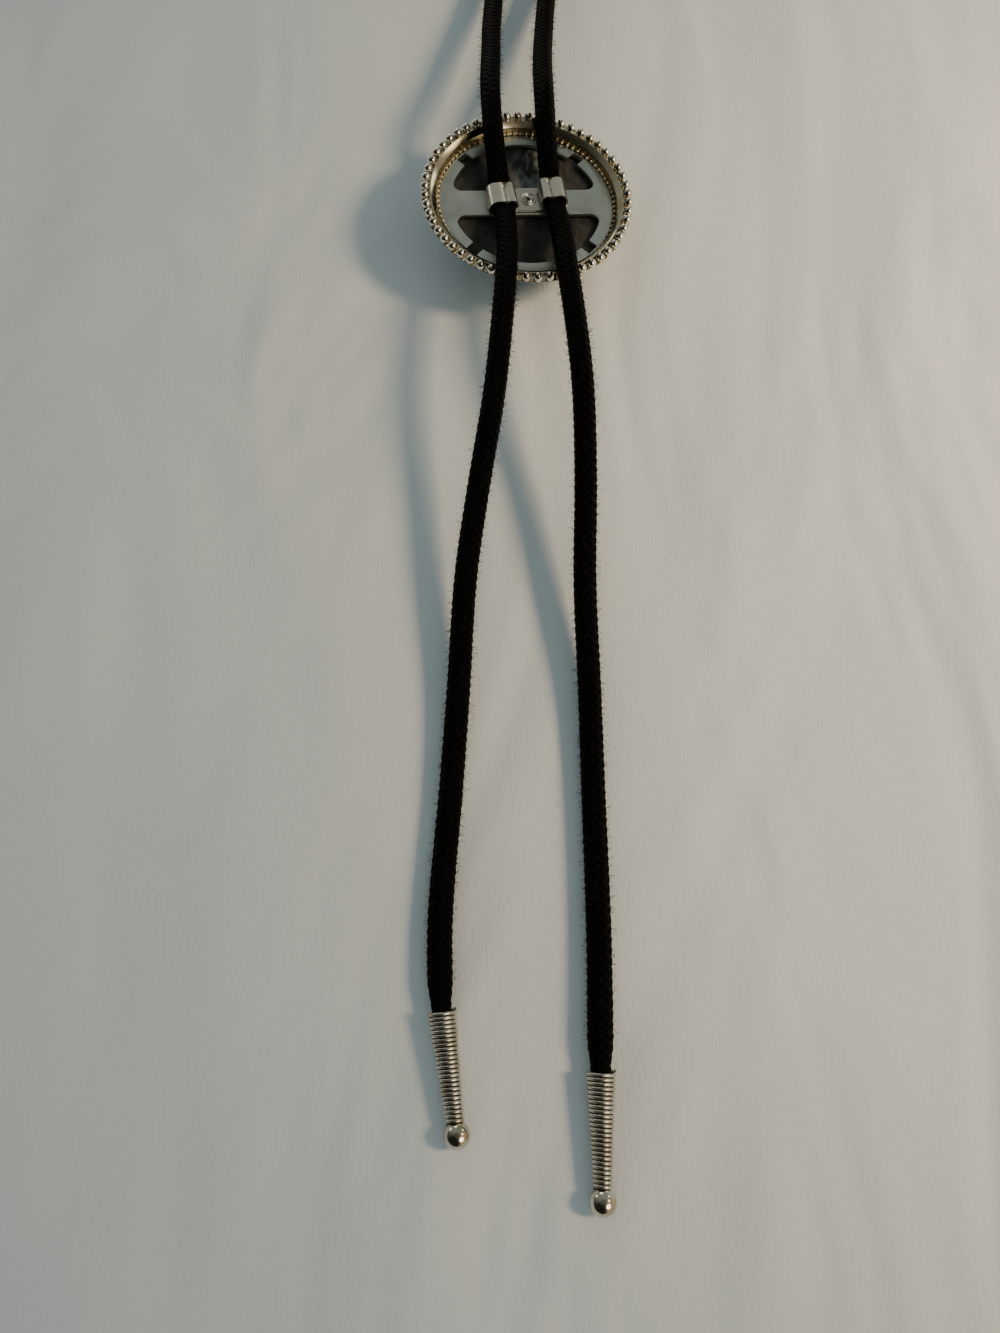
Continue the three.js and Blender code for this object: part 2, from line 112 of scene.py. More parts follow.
# %% Steps: a short way to write node trees
class Steps:
    def __init__(self, tree):
        self.tree = tree

    def add(self, kind, inputs=None, **settings):
        node = self.tree.nodes.new(kind)
        for key, value in settings.items():
            setattr(node, key, value)
        self.fill(node, inputs or {})
        return node

    def out(self, kind, inputs=None, **settings):
        """Adds a node and hands back its first output."""
        return self.add(kind, inputs, **settings).outputs[0]

    def fill(self, node, inputs):
        for key, value in inputs.items():
            self.put(node.inputs[key], value)

    def put(self, socket, value):
        if isinstance(value, bpy.types.NodeSocket):
            self.tree.links.new(value, socket)
        else:
            socket.default_value = value

    def number(self, operation, *values):
        node = self.add("ShaderNodeMath", dict(enumerate(values)), operation=operation)
        return node.outputs[0]

    def arrow(self, operation, *values):
        node = self.add("ShaderNodeVectorMath", operation=operation)
        for key, value in enumerate(values):
            self.put(node.inputs["Scale"] if operation == "SCALE" and key == 1 else node.inputs[key], value)
        return node.outputs["Value" if operation in ("DOT_PRODUCT", "LENGTH") else "Vector"]

    def times(self, first, second):
        return self.number("MULTIPLY", first, second)

    def scaled(self, arrow, share):
        return self.arrow("SCALE", arrow, share)

    def noise(self, place, scale, detail):
        return self.out("ShaderNodeTexNoise", {"Vector": place, "Scale": scale, "Detail": detail})

    def mix(self, share, under, over):
        return self.add("ShaderNodeMix", {0: share, 6: under, 7: over}, data_type="RGBA").outputs[2]

    def between(self, value, low, high, at_low=0.0, at_high=1.0):
        """Goes from at_low to at_high while the value goes from low to high, and no further."""
        return self.out("ShaderNodeMapRange", {0: value, 1: low, 2: high, 3: at_low, 4: at_high})

    def relief(self, strength, distance, height):
        return self.out("ShaderNodeBump", {"Strength": strength, "Distance": distance, "Height": height})

    def place(self):
        return self.add("ShaderNodeTexCoord").outputs["Object"]

    def vector(self, x, y, z):
        return self.out("ShaderNodeCombineXYZ", {0: x, 1: y, 2: z})

    def keep(self, geometry, name, value, kind="FLOAT", domain="POINT"):
        """Writes a value on the geometry under a name; kept reads it back."""
        inputs = {"Geometry": geometry, "Name": name, "Value": value}
        return self.out("GeometryNodeStoreNamedAttribute", inputs, data_type=kind, domain=domain)

    def kept(self, name, kind="FLOAT"):
        return self.out("GeometryNodeInputNamedAttribute", {"Name": name}, data_type=kind)

    def joined(self, first, second):
        node = self.add("GeometryNodeJoinGeometry")
        self.put(node.inputs[0], first)
        self.put(node.inputs[0], second)
        return node.outputs[0]

    def real(self, geometry):
        return self.out("GeometryNodeRealizeInstances", {0: geometry})

    def dress(self, result, geometry, material, where=True):
        """Ends a tree: what it made gets its material and goes to the output."""
        inputs = {"Geometry": geometry, "Selection": where, "Material": material}
        self.put(result, self.out("GeometryNodeSetMaterial", inputs))


def shape_tree(name, sizes):
    """A Geometry Nodes tree with one geometry in and out and named inputs for its sizes."""
    tree = bpy.data.node_groups.new(name, "GeometryNodeTree")
    tree.interface.new_socket("Geometry", in_out="INPUT", socket_type="NodeSocketGeometry")
    for label, kind, value in sizes:
        socket = tree.interface.new_socket(label, in_out="INPUT", socket_type="NodeSocket" + kind)
        if value is not None:
            socket.default_value = value
    tree.interface.new_socket("Geometry", in_out="OUTPUT", socket_type="NodeSocketGeometry")
    start = tree.nodes.new("NodeGroupInput")
    end = tree.nodes.new("NodeGroupOutput")
    return tree, Steps(tree), start.outputs, end.inputs["Geometry"]


def grow(holder, tree, sizes):
    """Adds the tree to an object, with its sizes set before the object is first evaluated."""
    modifier = holder.modifiers.new(tree.name, "NODES")
    modifier.node_group = tree
    sockets = {
        item.name: item.identifier
        for item in tree.interface.items_tree
        if item.item_type == "SOCKET" and item.in_out == "INPUT"
    }
    for label, value in sizes.items():
        modifier[sockets[label]] = value


def set_down(holder, name, place=None):
    """Turns an object with live modifiers into a plain mesh object at the origin."""
    bpy.context.view_layer.update()
    seen = holder.evaluated_get(bpy.context.evaluated_depsgraph_get())
    mesh = bpy.data.meshes.new_from_object(seen)
    mesh.name = name
    if place is not None:
        mesh.transform(place)
    source = holder.data
    bpy.data.objects.remove(holder)
    if source.users == 0 and isinstance(source, bpy.types.Mesh):
        bpy.data.meshes.remove(source)
    piece = bpy.data.objects.new(name, mesh)
    bpy.context.scene.collection.objects.link(piece)
    print(name, len(mesh.vertices), "points,", sum(len(f.vertices) - 2 for f in mesh.polygons), "triangles")
    return piece


def bare_mesh(name, points, faces, edges=()):
    mesh = bpy.data.meshes.new(name)
    mesh.from_pydata([tuple(p) for p in points], edges, faces)
    mesh.update()
    holder = bpy.data.objects.new(name, mesh)
    bpy.context.scene.collection.objects.link(holder)
    return holder


# %% [markdown]
# ## The room's colours
# The world's tree looks at the direction of each ray. Rays that light the table and the cord get one cool,
# even fill. Rays that a bright surface mirrors get the room: warm walls on the right and dim olive ones on
# the left, a paler far wall, a dark ceiling, a dark patch where the photographer stands in front, and five
# bright openings. The same room is there from every side, because nothing in it depends on the camera.

# %% Room colours
room_steps = Steps(world.node_tree)
direction = room_steps.add("ShaderNodeTexCoord").outputs["Generated"]


def facing(aim, low, high):
    """How much a ray points along aim, eased from 0 at low to 1 at high."""
    along = room_steps.arrow("DOT_PRODUCT", direction, tuple(Vector(aim).normalized()))
    share = room_steps.add("ShaderNodeMapRange", {0: along, 1: low, 2: high}, interpolation_type="SMOOTHSTEP")
    return share.outputs[0]


def compass(turn, height):
    """The direction that is turn degrees from +X, anticlockwise, and height degrees above the table."""
    turn, height = math.radians(turn), math.radians(height)
    return math.cos(height) * math.cos(turn), math.cos(height) * math.sin(turn), math.sin(height)


room = room_steps.mix(facing((0.94, -0.34, 0.0), -0.3, 0.98), (0.085, 0.092, 0.070, 1), (0.58, 0.44, 0.27, 1))
room = room_steps.mix(facing((0.0, 1.0, 0.25), 0.15, 0.85), room, (0.27, 0.285, 0.255, 1))
room = room_steps.mix(facing((0.0, 0.0, 1.0), 0.80, 0.97), room, (0.115, 0.105, 0.088, 1))
room = room_steps.mix(facing((-0.42, -0.72, 0.46), 0.42, 0.86), room, (0.014, 0.014, 0.011, 1))
openings = [
    {"turn": -34, "height": 40, "reach": 15, "glow": (5.0, 4.5, 3.7, 1)},
    {"turn": 18, "height": 40, "reach": 7, "glow": (3.2, 2.8, 2.0, 1)},
    {"turn": 43, "height": 18, "reach": 6, "glow": (2.6, 2.3, 1.8, 1)},
    {"turn": 99, "height": 8, "reach": 9, "glow": (2.6, 2.5, 2.2, 1)},
    {"turn": 138, "height": 9, "reach": 7, "glow": (2.2, 2.2, 2.0, 1)},
]
edge_from, edge_to = 0.8, 1.4
for opening in openings:
    edge_low = math.cos(math.radians(opening["reach"] * edge_to))
    edge_high = math.cos(math.radians(opening["reach"] * edge_from))
    in_opening = facing(compass(opening["turn"], opening["height"]), edge_low, edge_high)
    room = room_steps.mix(in_opening, room, opening["glow"])
mirrored = room_steps.add("ShaderNodeLightPath").outputs["Is Glossy Ray"]
seen = room_steps.mix(mirrored, (0.33, 0.40, 0.41, 1), room)
room_steps.put(world.node_tree.nodes["Background"].inputs["Color"], seen)
world.node_tree.nodes["Background"].inputs["Strength"].default_value = 1.0


# %% [markdown]
# ## Metal finishes
# Nickel plating is nearly a mirror, but never a perfect one: it has faint haze, fine scratches and a warm
# tarnish that gathers where polishing can't reach. One helper makes every metal here from the same layers,
# colour drift, haze and scratches, with amounts for each finish. The plate is satin, so it gets a coarser,
# duller grain. All patterns read Object coordinates, which stay put because each piece sits at the origin.

# %% Metal finishes
def finish(name):
    material = bpy.data.materials.new(name)
    material.use_nodes = True
    steps = Steps(material.node_tree)
    shader = material.node_tree.nodes["Principled BSDF"]
    return material, steps, shader


def metal_finish(name, clean, tarnish, haze, grain_size, scratch, stretch=(1, 1, 1)):
    material, steps, shader = finish(name)
    place = steps.place()
    turned = steps.out("ShaderNodeMapping", {"Vector": place, "Scale": stretch})
    cloud = steps.noise(place, 260.0, 4.0)
    grain = steps.noise(turned, grain_size, 5.0)
    drift = steps.between(cloud, 0.46, 0.74)
    steps.fill(shader, {"Metallic": 1.0, "Base Color": steps.mix(drift, clean, tarnish),
                        "Roughness": steps.between(grain, 0.3, 0.72, *haze),
                        "Normal": steps.relief(0.3, scratch * MM, grain)})
    return material


bright_nickel = metal_finish(
    "bright_nickel", (0.82, 0.80, 0.74, 1), (0.62, 0.54, 0.40, 1), (0.09, 0.18), 900.0, 0.006)
grain_nickel = metal_finish(
    "grain_nickel", (0.84, 0.76, 0.56, 1), (0.62, 0.50, 0.30, 1), (0.22, 0.34), 700.0, 0.004)
lip_nickel = metal_finish(
    "lip_nickel", (0.62, 0.57, 0.45, 1), (0.52, 0.43, 0.27, 1), (0.10, 0.18), 500.0, 0.004)
# Painted shade and a painted warm reflection: a darker, browner copy of the lip's metal for the inner wall.
wall_nickel_painted_shade = metal_finish(
    "wall_nickel_painted_shade", (0.46, 0.37, 0.20, 1), (0.36, 0.27, 0.13, 1), (0.24, 0.36), 600.0, 0.006)
satin_plate = metal_finish(
    "satin_plate", (0.63, 0.67, 0.64, 1), (0.55, 0.59, 0.55, 1), (0.36, 0.46), 2400.0, 0.006)
clip_nickel = metal_finish(
    "clip_nickel", (0.64, 0.63, 0.57, 1), (0.54, 0.51, 0.44, 1), (0.26, 0.36), 1500.0, 0.002, (1, 0.2, 1))
# Painted light: a brighter copy of the clip's metal for the loops' upper faces.
loop_nickel_painted_light = metal_finish(
    "loop_nickel_painted_light", (0.80, 0.77, 0.68, 1), (0.70, 0.65, 0.54, 1), (0.26, 0.34), 900.0, 0.0008, (1, 0.2, 1))
rivet_nickel = metal_finish(
    "rivet_nickel", (0.78, 0.79, 0.76, 1), (0.64, 0.63, 0.58, 1), (0.24, 0.36), 1500.0, 0.002)
tip_nickel = metal_finish(
    "tip_nickel", (0.64, 0.62, 0.55, 1), (0.50, 0.43, 0.31, 1), (0.08, 0.18), 1100.0, 0.006)
coil_nickel = metal_finish(
    "coil_nickel", (0.66, 0.63, 0.56, 1), (0.50, 0.43, 0.31, 1), (0.24, 0.36), 1100.0, 0.003)
# Painted shade: a near-black finish for the sleeve inside the coil, so the grooves between the turns look shaded.
painted_groove_shade = metal_finish(
    "painted_groove_shade", (0.06, 0.052, 0.040, 1), (0.10, 0.085, 0.06, 1), (0.5, 0.7), 1100.0, 0.02)


# %% [markdown]
# ## Cord and stone finishes
# The braid is black polyester: each strand is a bundle of fine fibres that run along it, which gives a faint
# silky line rather than a flat black. The strand's own attributes, along and across, carry that pattern, so
# it follows every bend. The domed stone is glossy outside, and its back, which the plate's openings show, is
# dull brown-black with pale scuffs of old glue.

# %% Cord, fibre and stone finishes
def braid_finish():
    material, steps, shader = finish("black_braid")
    across = steps.add("ShaderNodeAttribute", attribute_name="across").outputs["Fac"]
    along = steps.add("ShaderNodeAttribute", attribute_name="along").outputs["Fac"]
    lines = steps.vector(steps.times(across, 9.0), along, 0.0)
    fibre = steps.noise(lines, 2.4, 3.0)
    place = steps.place()
    worn = steps.noise(place, 70.0, 3.0)
    shade = steps.times(fibre, steps.number("MULTIPLY_ADD", worn, 1.2, 0.2))
    colour = steps.mix(shade, (0.0007, 0.0006, 0.0006, 1), (0.0036, 0.0032, 0.0028, 1))
    steps.fill(shader, {"Base Color": colour, "Roughness": steps.between(fibre, 0.3, 0.7, 0.62, 0.42),
                        "Specular IOR Level": 0.035, "Normal": steps.relief(0.6, 0.06 * MM, fibre)})
    return material


def core_finish():
    material, steps, shader = finish("cord_core")
    place = steps.place()
    felt = steps.noise(place, 1500.0, 3.0)
    colour = steps.mix(felt, (0.0008, 0.0008, 0.0008, 1), (0.003, 0.0028, 0.0028, 1))
    steps.fill(shader, {"Base Color": colour, "Roughness": 0.9, "Specular IOR Level": 0.05,
                        "Normal": steps.relief(0.5, 0.1 * MM, felt)})
    return material


def fuzz_finish():
    material, steps, shader = finish("stray_fibre")
    place = steps.place()
    tint = steps.noise(place, 180.0, 2.0)
    colour = steps.mix(tint, (0.004, 0.004, 0.004, 1), (0.03, 0.026, 0.022, 1))
    steps.fill(shader, {"Base Color": colour, "Roughness": 0.6, "Specular IOR Level": 0.15})
    return material


def stone_finish(name, dull):
    material, steps, shader = finish(name)
    place = steps.place()
    cloud = steps.noise(place, 120.0, 6.0)
    if dull:
        stretched = steps.out("ShaderNodeMapping", {"Vector": place, "Scale": (1.0, 0.45, 1.0)})
        smear = steps.out("ShaderNodeTexNoise", {
            "Vector": stretched, "Scale": 420.0, "Detail": 5.0, "Distortion": 0.8})
        glue_middle = (1.5 * MM, 10.5 * MM, 0.0)
        beside = steps.arrow("MULTIPLY", steps.arrow("SUBTRACT", place, glue_middle), (1.0, 0.7, 0.0))
        near = steps.between(steps.arrow("LENGTH", beside), 2 * MM, 8 * MM, 1.0, 0.12)
        scuff = steps.between(smear, 0.43, 0.64)
        spot = steps.times(scuff, near)
        ground = steps.mix(cloud, (0.010, 0.009, 0.007, 1), (0.036, 0.031, 0.025, 1))
        colour = steps.mix(spot, ground, (0.19, 0.20, 0.185, 1))
        rough = (0.8, 0.95)
    else:
        colour = steps.mix(cloud, (0.004, 0.004, 0.004, 1), (0.012, 0.011, 0.011, 1))
        rough = (0.06, 0.14)
    steps.fill(shader, {"Base Color": colour, "Roughness": steps.between(cloud, 0.3, 0.7, *rough),
                        "Normal": steps.relief(0.25, 0.05 * MM, cloud)})
    return material


black_braid = braid_finish()
cord_core_black = core_finish()
stray_fibre = fuzz_finish()
stone_dome = stone_finish("stone_dome", False)
stone_back = stone_finish("stone_back", True)

# %% [markdown]
# ## The table
# The table is stage, not part of the tie. It is one pale cloth, flat, with a faint weave and a few soft folds
# that only its relief shows, so that shadows still read clearly on it.

# %% Table
table_finish, table_steps, table_shader = finish("pale_table")
table_place = table_steps.place()
mottle = table_steps.noise(table_place, 14.0, 5.0)
table_colour = table_steps.mix(mottle, (0.63, 0.64, 0.63, 1), (0.68, 0.69, 0.68, 1))
pulled = table_steps.out("ShaderNodeMapping", {"Vector": table_place, "Scale": (1.0, 0.35, 1.0)})
folds = table_steps.out("ShaderNodeTexNoise", {
    "Vector": pulled, "Scale": 16.0, "Detail": 2.0, "Distortion": 1.2})
weave_place = table_steps.out("ShaderNodeMapping", {
    "Vector": table_place, "Rotation": (0, 0, math.radians(35)), "Scale": (1.0, 0.3, 1.0)})
weave = table_steps.noise(weave_place, 1500.0, 1.0)
folded = table_steps.out("ShaderNodeBump", {"Strength": 0.35, "Distance": 22 * MM, "Height": folds})
woven = table_steps.out("ShaderNodeBump", {
    "Strength": 0.3, "Distance": 0.3 * MM, "Height": weave, "Normal": folded})
table_steps.fill(table_shader, {"Base Color": table_colour, "Roughness": 0.9, "Normal": woven})
half_side = 1.6
table_corners = [(x * half_side, y * half_side, 0) for x, y in ((-1, -1), (1, -1), (1, 1), (-1, 1))]
table = bare_mesh("table", table_corners, [(0, 1, 2, 3)])
table.data.materials.append(table_finish)

# %% [markdown]
# ## The cord's route
# The cord is 5 mm thick and 840 mm long between the tips. It starts in the left tip, runs flat on the table,
# climbs over the setting's edge, is pinched in the clip, goes down again and round the neck loop, and comes
# back the same way on the right. The route is the list of points that the solid was made from, in metres,
# joined by the same kind of curve, a centripetal Catmull-Rom spline, so that both lie in the same place.

# %% The cord's points
cord_points = MM * np.array([
    (-16.65, -187.2, 2.8), (-17.4, -182.2, 2.88), (-18, -166.1, 2.64), (-16.3, -139.9, 2.69),
    (-15.1, -120, 3.96), (-13.7, -95.6, 8.16), (-11.1, -77.2, 12.74), (-7.7, -57, 18.47),
    (-6, -40.2, 20.96), (-5, -25.8, 21.08), (-4.9, -13.6, 18.11), (-5.5, -4.4, 15.89),
    (-6.04, -1.18, 15.93), (-6.58, 2.05, 15.97), (-8.7, 23.7, 20.93), (-8.8, 53.4, 13.63),
    (-9.6, 97.4, 4.17), (-25.9, 140.3, 2.62), (-28.7, 176, 2.64), (-13.2, 199.9, 2.55),
    (6.8, 202.3, 2.58), (24.5, 182.5, 2.55), (26.4, 149, 2.71), (9.8, 102.9, 3.43), (4.6, 54.3, 12.2),
    (4.2, 23.6, 20.16), (5.43, 4.25, 15.14), (5.97, 1.03, 15.1), (6.51, -2.2, 15.06),
    (7.7, -12.7, 17.22), (8.6, -26, 20.66), (9.9, -38.7, 20.71), (11.4, -55.6, 18.21),
    (11.8, -75, 12.97), (11.4, -97.1, 7.82), (12, -119, 4.01), (12.2, -138.9, 2.76),
    (12.4, -168.5, 2.59), (11.9, -192.6, 2.88), (11.83, -197.7, 2.8),
])


def spline_through(points, per_span):
    """A centripetal Catmull-Rom curve through the points, as many close samples."""
    ends = np.vstack([2 * points[0] - points[1], points, 2 * points[-1] - points[-2]])
    samples = []
    for p0, p1, p2, p3 in zip(ends[:-3], ends[1:-2], ends[2:-1], ends[3:]):
        d0, d1, d2 = (np.linalg.norm(b - a) ** 0.5 for a, b in ((p0, p1), (p1, p2), (p2, p3)))
        leave = ((p1 - p0) / d0 - (p2 - p0) / (d0 + d1) + (p2 - p1) / d1) * d1
        arrive = ((p2 - p1) / d1 - (p3 - p1) / (d1 + d2) + (p3 - p2) / d2) * d1
        for t in np.arange(per_span) / per_span:
            samples.append(p1 * (2 * t**3 - 3 * t**2 + 1) + leave * (t**3 - 2 * t**2 + t)
                           + p2 * (3 * t**2 - 2 * t**3) + arrive * (t**3 - t**2))
    samples.append(points[-1])
    return np.array(samples)


def evenly(samples, step):
    """The same curve with samples an even distance apart."""
    gone = np.concatenate([[0], np.cumsum(np.linalg.norm(np.diff(samples, axis=0), axis=1))])
    marks = np.linspace(0, gone[-1], int(round(gone[-1] / step)) + 1)
    return np.stack([np.interp(marks, gone, samples[:, axis]) for axis in range(3)], axis=1), marks


close_route, _ = evenly(spline_through(cord_points, 40), 0.2 * MM)
soften_reach, soften_width = 30, 10.0
soften = np.exp(-0.5 * (np.arange(-soften_reach, soften_reach + 1) / soften_width) ** 2)
soften /= soften.sum()
padding = ((soften_reach, soften_reach), (0, 0))
padded_route = np.pad(close_route, padding, mode="reflect", reflect_type="odd")
close_route = np.stack([np.convolve(padded_route[:, axis], soften, "valid") for axis in range(3)], axis=1)
route, along_route = evenly(close_route, 1.5 * MM)
cord_length = along_route[-1]
print("cord length", round(cord_length / MM, 1), "mm in", len(route), "steps")

# %% [markdown]
# ## How the slide lies
# The slide rests on its dome and leans 4.8 degrees, and inside it the plate and clip are turned 5.5 degrees.
# Each piece of the slide is drawn flat in its own frame and then put down with one of these two matrices.

# %% The slide's two frames
slide_height = 16.004 * MM
slide_lean = math.radians(4.8)
plate_turn = math.radians(5.5)
slide_frame = Matrix.Translation((0, 0, slide_height)) @ Matrix.Rotation(slide_lean, 4, "Y")
plate_frame = slide_frame @ Matrix.Rotation(plate_turn, 4, "Z")
plate_top = -2.5 * MM
plate_bottom = -3.3 * MM
clip_bottom = plate_top + 0.3 * MM
strip = 0.42 * MM
print("the slide's middle is", round(slide_height / MM, 2), "mm above the table")

# %% [markdown]
# ## The cord's section along its way
# A braid is soft: it is round on the table, pressed flat in the clip's loops, and squeezed to fit the mouths
# of the tips. Two numbers at each step of the route say how wide and how high it is there, as shares of the
# round section. They ease in and out over about a cord's thickness, as a real braid does.

# %% Widths and heights along the cord
CORD_RADIUS = 2.5 * MM
MOUTH_SHARE = 0.75
ROOF_SHARE = 0.70
SIDE_GAP = 0.45 * MM
PRESSED_TO = 3.0 * MM
FREE_FROM = 9.0 * MM
loops = {
    "left": {"across": -6.1 * MM, "along": -0.6 * MM, "width": 7.2 * MM, "height": 3.6 * MM, "outward": -1},
    "right": {"across": 6.1 * MM, "along": 0.45 * MM, "width": 6.7 * MM, "height": 4.0 * MM, "outward": 1},
}


def ease(value, low, high):
    t = np.clip((value - low) / (high - low), 0, 1)
    return t * t * (3 - 2 * t)


def cord_shares(marks):
    from_end = np.minimum(marks, cord_length - marks)
    neck = MOUTH_SHARE + (1 - MOUTH_SHARE) * ease(from_end, 5.6 * MM, 10.5 * MM)
    wide, high = neck.copy(), neck.copy()
    for loop in loops.values():
        floor = clip_bottom + strip
        roof = clip_bottom + (loop["height"] - strip) * ROOF_SHARE
        middle = plate_frame @ Vector((loop["across"], loop["along"], (floor + roof) / 2))
        at = marks_close[np.argmin(np.linalg.norm(close_route - np.array(middle), axis=1))]
        free = ease(np.abs(marks - at), PRESSED_TO, FREE_FROM)
        pinched_high = ((roof - floor) / 2 - 0.1 * MM) / CORD_RADIUS
        pinched_wide = (loop["width"] / 2 - strip - SIDE_GAP) / CORD_RADIUS
        wide *= pinched_wide + (1 - pinched_wide) * free
        high *= pinched_high + (1 - pinched_high) * free
    return wide, high


marks_close = np.linspace(0, cord_length, len(close_route))
wide_share, high_share = cord_shares(along_route)
slide_up = np.array(slide_frame.to_3x3() @ Vector((0, 0, 1)))
print("narrowest width share", round(float(wide_share.min()), 2),
      "lowest height share", round(float(high_share.min()), 2))

# %% [markdown]
# ## The cord's core
# Under the braid lies a dark core. It is a plain tube of rings that follow the route, made directly as a mesh
# because the cord has to keep its exact length and place. It is a little thinner than the cord, and the
# strands of the braid are laid on it next.

# %% The core's tube
def route_frames(points):
    """Directions along the route, and two more across it that turn as little as they can."""
    heading = np.gradient(points, axis=0)
    heading /= np.linalg.norm(heading, axis=1)[:, None]
    side = np.cross(heading[0], (0, 0, 1))
    sides = []
    for direction in heading:
        side = side - direction * side.dot(direction)
        side = side / np.linalg.norm(side)
        sides.append(side)
    sides = np.array(sides)
    return heading, sides, np.cross(heading, sides)


def ring_points(points, radius, wide, high, count):
    heading, side, lift = route_frames(points)
    angles = np.arange(count) * 2 * math.pi / count
    out = radius * (np.cos(angles)[None, :, None] * side[:, None, :]
                    + np.sin(angles)[None, :, None] * lift[:, None, :])
    rise = (out @ slide_up)[..., None] * slide_up
    return points[:, None, :] + rise * high[:, None, None] + (out - rise) * wide[:, None, None]


def tube(name, points, radius, wide, high, count):
    rings = ring_points(points, radius, wide, high, count).reshape(-1, 3)
    steps = len(points)
    faces = [(i * count + j, i * count + (j + 1) % count, (i + 1) * count + (j + 1) % count, (i + 1) * count + j)
             for i in range(steps - 1) for j in range(count)]
    faces.append(tuple(range(count))[::-1])
    faces.append(tuple((steps - 1) * count + j for j in range(count)))
    return bare_mesh(name, rings, faces)


def smooth_up_to(piece, degrees):
    piece.data.shade_smooth()
    piece.data.set_sharp_from_angle(angle=math.radians(degrees))


def face_outwards(piece):
    work = bmesh.new()
    work.from_mesh(piece.data)
    bmesh.ops.remove_doubles(work, verts=work.verts, dist=1e-7)
    bmesh.ops.recalc_face_normals(work, faces=work.faces)
    work.to_mesh(piece.data)
    work.free()


CORE_RADIUS = 2.05 * MM
CORE_SIDES = 20
core = tube("cord_core", route, CORE_RADIUS, wide_share, high_share, CORE_SIDES)
face_outwards(core)
core.data.shade_smooth()
core.data.materials.append(cord_core_black)

# %% [markdown]
# ## The braid
# Sixteen strands make the braid, eight that turn one way and eight that turn the other, and each goes over
# two and under two. Only the rule is needed, not sixteen drawn curves: a strand turns evenly as it runs along
# the route, and its distance from the middle swings in and out with the strands that it crosses. Geometry
# Nodes follow that rule on the route itself. The squeeze in the clip and in the tips comes from the two
# shares, which the route carries as attributes. The eight strands of one way are one tree, used twice.

# %% The braid's tree
braid_tree, steps, given, result = shape_tree("laid_strands", [
    ("Strands", "Int", 8), ("Turns", "Float", 50.0), ("Way", "Float", 1.0), ("Steps", "Int", 1200),
    ("Middle Radius", "Float", 2.1 * MM), ("Swing", "Float", 0.16 * MM), ("Strand Width", "Float", 0.7 * MM),
    ("Strand Thickness", "Float", 0.27 * MM), ("Lift", "Vector", (0, 0, 1)), ("Material", "Material", None)])
path = steps.out("GeometryNodeMeshToCurve", {0: given["Geometry"]})
plain_line = steps.out("GeometryNodeCurvePrimitiveLine")
one = steps.add("GeometryNodeResampleCurve", {0: plain_line, 2: given["Steps"]})
many = steps.add("GeometryNodeDuplicateElements", {0: one.outputs[0], 2: given["Strands"]}, domain="SPLINE")
run = steps.add("GeometryNodeSplineParameter").outputs["Factor"]
lines = steps.keep(many.outputs["Geometry"], "run", run)
lines = steps.keep(lines, "strand", many.outputs["Duplicate Index"])
run = steps.kept("run")
strand = steps.kept("strand")


def read_path(kind, name):
    inputs = {"Curves": path, "Factor": run, "Value": steps.kept(name, kind)}
    return steps.add("GeometryNodeSampleCurve", inputs, mode="FACTOR", data_type=kind, use_all_curves=False)


spot = read_path("FLOAT_VECTOR", "side")
spot_side = steps.arrow("NORMALIZE", spot.outputs["Value"])
spot_lift = steps.arrow("NORMALIZE", steps.arrow("CROSS_PRODUCT", spot.outputs["Tangent"], spot_side))
turned = steps.times(steps.times(run, given["Turns"]), given["Way"])
start_at = steps.number("DIVIDE", strand, given["Strands"])
angle = steps.times(steps.number("ADD", turned, start_at), 2 * math.pi)
crossings = steps.times(steps.times(run, given["Turns"]), steps.times(given["Strands"], 2.0))
pair = steps.number("ADD", steps.times(crossings, given["Way"]), steps.times(strand, 2.0))
wave = steps.number("COSINE", steps.times(steps.number("SUBTRACT", pair, 0.5), math.pi / 2))
wave = steps.times(wave, given["Way"])
reach = steps.number("ADD", given["Middle Radius"], steps.times(wave, given["Swing"]))
out = steps.arrow("ADD", steps.scaled(spot_side, steps.number("COSINE", angle)),
                  steps.scaled(spot_lift, steps.number("SINE", angle)))
offset = steps.scaled(out, reach)
rise = steps.scaled(given["Lift"], steps.arrow("DOT_PRODUCT", offset, given["Lift"]))
level = steps.arrow("SUBTRACT", offset, rise)
pressed = steps.arrow("ADD", steps.scaled(rise, read_path("FLOAT", "high").outputs["Value"]),
                      steps.scaled(level, read_path("FLOAT", "wide").outputs["Value"]))
laid = steps.add("GeometryNodeSetPosition", {
    "Geometry": lines, "Position": steps.arrow("ADD", spot.outputs["Position"], pressed)})
lines = steps.out("GeometryNodeSetCurveNormal", {"Curve": laid.outputs[0], "Normal": out}, mode="FREE")
lines = steps.keep(lines, "along", steps.times(run, given["Turns"]))
section = steps.out("GeometryNodeCurvePrimitiveCircle", {"Resolution": 6, "Radius": 1.0})
around = steps.add("GeometryNodeSplineParameter").outputs["Factor"]
section = steps.keep(section, "across", around)
flat = steps.vector(given["Strand Thickness"], given["Strand Width"], 1.0)
section = steps.out("GeometryNodeTransform", {"Geometry": section, "Scale": flat})
body = steps.add("GeometryNodeCurveToMesh", {
    "Curve": lines, "Profile Curve": section, "Fill Caps": True})
smooth = steps.out("GeometryNodeSetShadeSmooth", {0: body.outputs[0]})
steps.dress(result, steps.real(smooth), given["Material"])


# %% Lay the strands
def route_line(name):
    line = bare_mesh(name, route, [], [(i, i + 1) for i in range(len(route) - 1)])
    _, sides, _ = route_frames(route)
    for label, values in (("wide", wide_share), ("high", high_share)):
        line.data.attributes.new(label, "FLOAT", "POINT").data.foreach_set("value", values.astype(np.float32))
    side = line.data.attributes.new("side", "FLOAT_VECTOR", "POINT")
    side.data.foreach_set("vector", sides.astype(np.float32).ravel())
    return line


